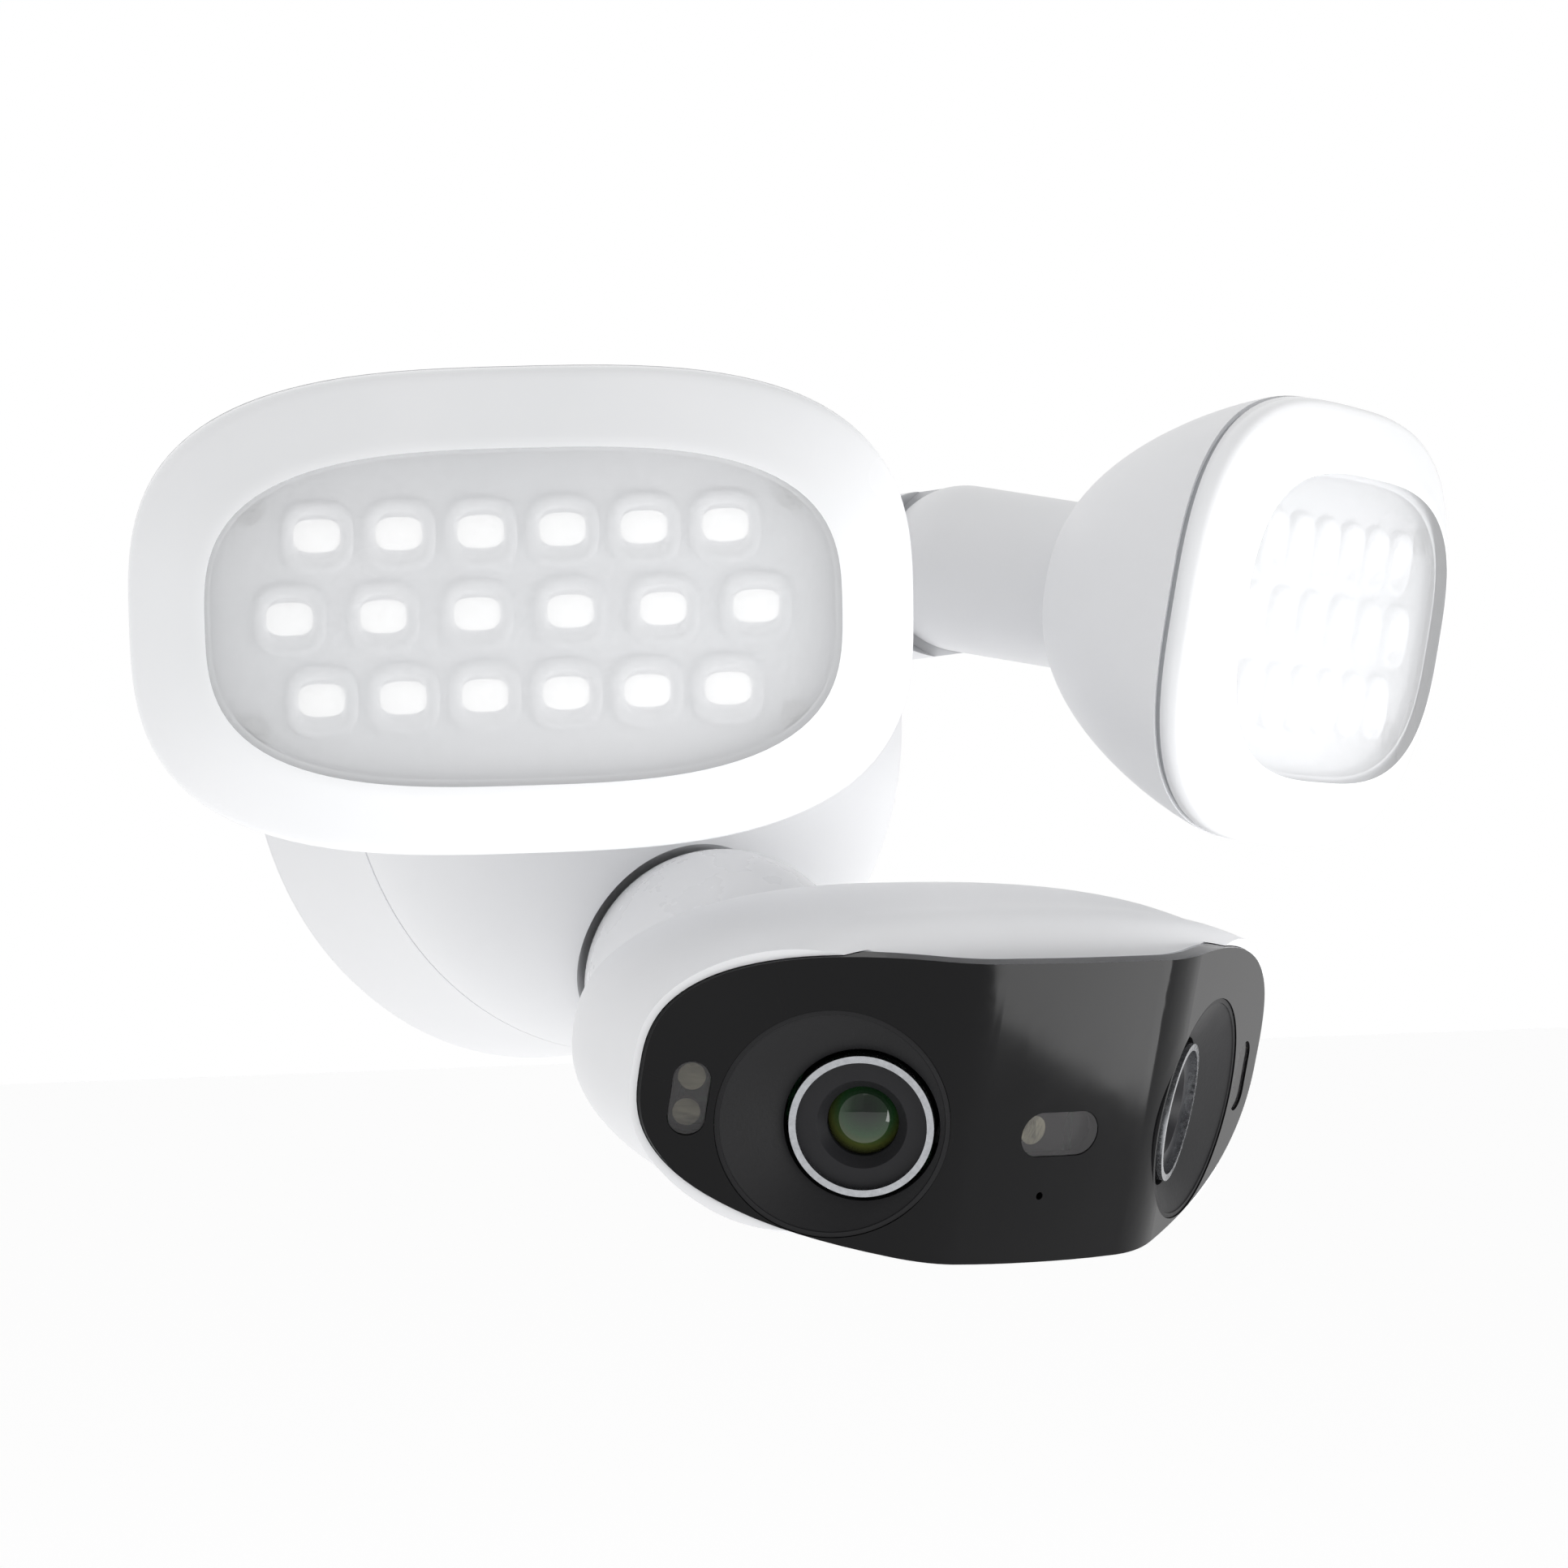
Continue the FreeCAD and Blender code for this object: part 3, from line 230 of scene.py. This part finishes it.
WHITE = (0.83, 0.835, 0.85)
MATERIALS = {
    "white_plastic": moulded("white_plastic", WHITE, 0.42, 0.10, 2600.0, 0.012),
    "ball_plastic": moulded("ball_plastic", WHITE, 0.28, 0.05, 2600.0, 0.012),
    "gasket_rubber": moulded("gasket_rubber", (0.025, 0.025, 0.027), 0.75, 0.3, 1500.0, 0.15),
    "grey_seal": moulded("grey_seal", (0.42, 0.43, 0.45), 0.7, 0.2, 1500.0, 0.08),
    "plated_steel": metal("plated_steel", (0.60, 0.60, 0.58), 0.34),
    "screw_steel": metal("screw_steel", (0.48, 0.48, 0.48), 0.28, (1.0, 1.0, 1.0), 900.0),
    "circuit_board": board_material(),
    "components": moulded("components", (0.03, 0.03, 0.034), 0.5, 0.2, 1200.0, 0.2),
    "terminal_plastic": moulded("terminal_plastic", (0.62, 0.64, 0.60), 0.5, 0.15, 1500.0, 0.05),
    "frosted_diffuser": diffuser_material("frosted_diffuser", 1.0, 0.0),
    "clear_diffuser": diffuser_material("clear_diffuser", 0.34, 0.0),
    "white_seal": moulded("white_seal", (0.80, 0.805, 0.82), 0.6, 0.1, 1500.0, 0.02),
    # The optic tray's faint glow is painted light: its plastic gives off a little light so that it shows
    # brighter behind the covers.
    "optic_plastic": glowing("optic_plastic", (0.84, 0.845, 0.86), 0.05, 0.3),
    "led_board_metal": moulded("led_board_metal", (0.85, 0.86, 0.88), 0.4, 0.1, 1500.0, 0.03),
    "led_phosphor": glowing("led_phosphor", (1.0, 0.99, 0.97), 0.45, 0.5),
    "black_cover": gloss_black(),
    "bezel_black": moulded("bezel_black", (0.010, 0.010, 0.011), 0.5, 0.5, 1400.0, 0.2, 0.0, 0.22),
    "ring_silver": metal("ring_silver", (0.42, 0.43, 0.45), 0.24, (1.0, 1.0, 1.0), 1200.0),
    "barrel_black": moulded("barrel_black", (0.012, 0.012, 0.014), 0.45, 0.3, 1800.0, 0.2, 0.0, 0.25),
    "lens_glass": lens_glass_material(),
    "dark_window": moulded("dark_window", (0.045, 0.043, 0.045), 0.12, 0.03, 900.0, 0.2, 0.5),
    "spot_led": moulded("spot_led", (0.50, 0.47, 0.34), 0.2, 0.05, 900.0, 0.1, 0.5),
    "sensor_chip": moulded("sensor_chip", (0.03, 0.035, 0.06), 0.12, 0.02, 900.0, 0.3, 0.5),
    "speaker_black": moulded("speaker_black", (0.02, 0.02, 0.02), 0.6, 0.2, 1500.0, 0.2),
    "button_grey": moulded("button_grey", (0.25, 0.25, 0.27), 0.5, 0.1, 1500.0, 0.05),
}

WINDOW_ALPHA = 0.45
MATERIALS["dark_window"].node_tree.nodes["Principled BSDF"].inputs["Alpha"].default_value = WINDOW_ALPHA

# The wall gasket is the one seal moulded in white.
LOOK_OF_NODE = {"wall_gasket": "white_seal"}
slot_of = {part["node"]: part["material_slot"] for part in frame["record"]["subparts"]}
for node, thing in frame["nodes"].items():
    thing.data.materials.clear()
    thing.data.materials.append(MATERIALS[LOOK_OF_NODE.get(node, slot_of[node])])


# ---------------------------------------------------------------- lamp covers and optics
LAMP_A = 66.5 * MM
LAMP_B = 41.5 * MM
LAMP_N = 3.0
COVER_WALL = 2.2 * MM
CLEAR_A = 53.2 * MM      # half size of the clearer plastic over the optics
CLEAR_B = 28.2 * MM
CROWN = 0.5 * MM         # how far the cover's middle swells out
OPTIC_R = 6.25 * MM
EMITTER_R = 4.1 * MM
EMITTER_SQUASH = 0.72    # an emitter's height over its width
TRAY_FRONT = -1.4 * MM
OPTIC_ROW_STEP = 14.0 * MM
OPTIC_PITCHES = (13.8 * MM, 15.8 * MM, 13.8 * MM)   # spacing in the top, middle and bottom rows
OPTIC_COLUMNS = 6
TRAY_N = 3.4             # squareness of the tray's outline
OPTIC_N = 3.0
EMITTER_N = 3.2
OPTIC_SEGMENTS = 40
EMITTER_SEGMENTS = 32


def squircle(a, b, n, y, x0=0.0, z0=0.0, count=SEGMENTS):
    """Points of a superellipse in the plane at depth y, evenly spread round it."""
    points = []
    for k in range(count):
        t = 2 * math.pi * k / count
        theta = math.atan2(b * math.sin(t), a * math.cos(t))
        c = math.cos(theta)
        s = math.sin(theta)
        r = (abs(c / a) ** n + abs(s / b) ** n) ** (-1.0 / n)
        points.append(Vector((x0 + r * c, y, z0 + r * s)))
    return points


def skin(work, rings, close=True):
    """Faces between successive rings of vertices, with flat ends if it is closed."""
    rows = [[work.verts.new(point) for point in ring] for ring in rings]
    count = len(rows[0])
    for low, high in zip(rows, rows[1:]):
        for k in range(count):
            work.faces.new((low[k], low[(k + 1) % count], high[(k + 1) % count], high[k]))
    if close:
        work.faces.new(list(reversed(rows[0])))
        work.faces.new(rows[-1])


def finish_mesh(name, work, matrix):
    """Smooth-shaded object in the scene, moved to its place."""
    bmesh.ops.recalc_face_normals(work, faces=work.faces)
    for face in work.faces:
        face.smooth = True
    mesh = bpy.data.meshes.new(name)
    work.to_mesh(mesh)
    work.free()
    mesh.transform(matrix)
    piece = bpy.data.objects.new(name, mesh)
    bpy.context.scene.collection.objects.link(piece)
    return piece


def cover_profile(wall):
    """Cover section from its rim to its middle: (distance in from the outline, depth)."""
    lines = ((0.0, 3.9), (0.0, 2.0), (0.05, 1.1), (0.35, 0.4), (0.9, -0.1), (1.9, -0.6), (4.0, -1.5),
             (7.0, -2.8), (9.8, -3.95), (10.8, -4.45), (11.8, -4.8), (12.8, -4.98), (13.8, -5.03))
    profile = []
    for k, (inset, depth) in enumerate(lines):
        thinning = 0.9 if k < 4 else 0.4
        profile.append((inset * MM + wall * thinning, depth * MM + (wall if k else 0.0)))
    return profile


def cover_rings(wall):
    """Rings of the cover's skin, moved in by wall, from its rim to its middle."""
    rings = []
    for inset, depth in cover_profile(wall):
        rings.append(squircle(LAMP_A - inset, LAMP_B - inset, LAMP_N, depth))
    inset, depth = cover_profile(wall)[-1]
    for share in (0.8, 0.6, 0.4, 0.2, 0.06):
        swell = (1 - share ** 2) * CROWN
        rings.append(squircle((LAMP_A - inset) * share, (LAMP_B - inset) * share, LAMP_N, depth - swell))
    return rings


def lamp_cover(side, name):
    """Cover with a frosted bevel round a clearer plateau."""
    outside = cover_rings(0.0)
    inside = cover_rings(COVER_WALL)
    work = bmesh.new()
    skin(work, list(reversed(outside)) + inside)
    for face in work.faces:
        middle = face.calc_center_median()
        reach = abs(middle.x / CLEAR_A) ** LAMP_N + abs(middle.z / CLEAR_B) ** LAMP_N
        face.material_index = 1 if reach < 1.0 else 0
    piece = finish_mesh(name + "_frosted_cover", work, lamp_matrix(side))
    piece.data.materials.append(MATERIALS["frosted_diffuser"])
    piece.data.materials.append(MATERIALS["clear_diffuser"])
    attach(piece, name + "_lamp")
    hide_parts(name + "_lamp_cover")


def optic_places():
    """Centres of the optics across the lamp's face, row by row from the top."""
    places = []
    for row, pitch in enumerate(OPTIC_PITCHES):
        for column in range(OPTIC_COLUMNS):
            places.append(((column - (OPTIC_COLUMNS - 1) / 2) * pitch, (1 - row) * OPTIC_ROW_STEP))
    return places


def optics(side, name):
    """Moulded tray: each optic is a soft-edged rounded square with a dished middle."""
    work = bmesh.new()
    plate = ((58 * MM, 32.5 * MM, 1.2 * MM), (58 * MM, 32.5 * MM, 0.2 * MM), (57.6 * MM, 32.1 * MM, 0.0))
    skin(work, [squircle(a, b, TRAY_N, depth) for a, b, depth in plate])
    section = ((OPTIC_R, 0.1 * MM), (OPTIC_R, -1.0 * MM), (OPTIC_R - 0.3 * MM, TRAY_FRONT),
               (OPTIC_R - 0.9 * MM, TRAY_FRONT - 0.15 * MM), (EMITTER_R + 0.5 * MM, TRAY_FRONT),
               (EMITTER_R, -0.6 * MM), (EMITTER_R - 0.4 * MM, 0.1 * MM))
    for x, z in optic_places():
        rings = [squircle(radius, radius, OPTIC_N, depth, x, z, OPTIC_SEGMENTS) for radius, depth in section]
        skin(work, rings, False)
    piece = finish_mesh(name + "_optics", work, lamp_matrix(side))
    # This plastic carries a painted glow that brightens the tray behind the cover.
    piece.data.materials.append(MATERIALS["optic_plastic"])
    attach(piece, name + "_lamp")
    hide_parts(name + "_lens_tray")


def emitters(side, name):
    """Glowing rounded squares at the bottom of the optics' dishes."""
    work = bmesh.new()
    for x, z in optic_places():
        rings = []
        for share, depth in ((0.90, 0.3), (0.95, -0.3), (0.85, -0.7), (0.5, -0.95), (0.1, -1.0)):
            a = EMITTER_R * share
            rings.append(squircle(a, EMITTER_R * EMITTER_SQUASH * share, EMITTER_N, depth * MM,
                                  x, z + 0.2 * MM, EMITTER_SEGMENTS))
        skin(work, rings)
    piece = finish_mesh(name + "_emitters", work, lamp_matrix(side))
    piece.data.materials.append(MATERIALS["led_phosphor"])
    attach(piece, name + "_lamp")
    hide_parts(name + "_led_chips")


for side, name in ((-1, "left"), (1, "right")):
    lamp_cover(side, name)
    optics(side, name)
    emitters(side, name)


# ---------------------------------------------------------------- camera, light and floor
CAMERA_AT = (-0.60575, -0.95545, -0.00554)
CAMERA_AZIMUTH = 34.87   # degrees
CAMERA_DOWN = 0.28
FOCAL_LENGTH = 131.42    # mm, on a sensor 36 mm wide
FRONT_DIM = 0.35         # strength of the surroundings in front
REST_STRENGTH = 0.9
FLOOR_Z = -0.45
FLOOR_GLOW = 0.38


def camera():
    """Long lens at the left of the part, level with it."""
    lens = bpy.data.cameras.new("camera")
    lens.sensor_width = 36.0
    lens.lens = FOCAL_LENGTH
    lens.clip_start = 0.01
    eye = bpy.data.objects.new("camera", lens)
    turn = math.radians(CAMERA_AZIMUTH)
    dip = math.radians(CAMERA_DOWN)
    toward = Vector((math.sin(turn) * math.cos(dip), math.cos(turn) * math.cos(dip), -math.sin(dip)))
    eye.location = CAMERA_AT
    eye.rotation_euler = toward.to_track_quat("-Z", "Y").to_euler()
    bpy.context.scene.collection.objects.link(eye)
    bpy.context.scene.camera = eye


def area_light(name, at, aim, size, power, size_y=None):
    data = bpy.data.lights.new(name, "AREA")
    data.shape = "RECTANGLE"
    data.size = size
    data.size_y = size_y or size
    data.energy = power
    lamp = bpy.data.objects.new(name, data)
    lamp.location = at
    lamp.rotation_euler = (Vector(aim) - Vector(at)).to_track_quat("-Z", "Y").to_euler()
    bpy.context.scene.collection.objects.link(lamp)


def studio():
    """Soft white surroundings, dimmer in front of the part, and white where the camera sees them."""
    world = bpy.data.worlds.new("studio")
    bpy.context.scene.world = world
    world.use_nodes = True
    tree = world.node_tree
    background = tree.nodes["Background"]
    place = tree.nodes.new("ShaderNodeTexCoord")
    split = tree.nodes.new("ShaderNodeSeparateXYZ")
    tree.links.new(place.outputs["Generated"], split.inputs["Vector"])
    front = tree.nodes.new("ShaderNodeMapRange")
    front.inputs["From Min"].default_value = -0.35
    front.inputs["From Max"].default_value = 0.15
    front.inputs["To Min"].default_value = FRONT_DIM
    front.inputs["To Max"].default_value = REST_STRENGTH
    tree.links.new(split.outputs["Y"], front.inputs["Value"])
    seen = tree.nodes.new("ShaderNodeLightPath")
    strength = tree.nodes.new("ShaderNodeMath")
    strength.operation = "MAXIMUM"
    tree.links.new(front.outputs["Result"], strength.inputs[0])
    tree.links.new(seen.outputs["Is Camera Ray"], strength.inputs[1])
    tree.links.new(strength.outputs["Value"], background.inputs["Strength"])
    background.inputs["Color"].default_value = (1.0, 1.0, 1.0, 1.0)
    area_light("above", (-0.1, -0.6, 1.2), (0, -0.08, 0), 1.6, 3.6)
    area_light("left", (-1.3, -0.7, 0.5), (0, -0.08, 0), 1.1, 0.3)
    area_light("right", (1.1, -1.0, 0.6), (0, -0.1, 0), 0.8, 0.8)
    area_light("card", (0.15, -0.40, -0.12), (0.01, -0.169, -0.05), 0.30, 0.7, 0.15)


def floor():
    """Plain pale sheet well below the part."""
    mesh = bpy.data.meshes.new("floor")
    work = bmesh.new()
    bmesh.ops.create_grid(work, x_segments=1, y_segments=1, size=6.0)
    work.to_mesh(mesh)
    work.free()
    ground = bpy.data.objects.new("floor", mesh)
    ground.location = (0, 0, FLOOR_Z)
    bpy.context.scene.collection.objects.link(ground)
    ground.data.materials.append(glowing("floor_paper", (0.93, 0.93, 0.93), FLOOR_GLOW, 0.9))


camera()
studio()
floor()
bpy.context.scene.view_settings.view_transform = "Standard"
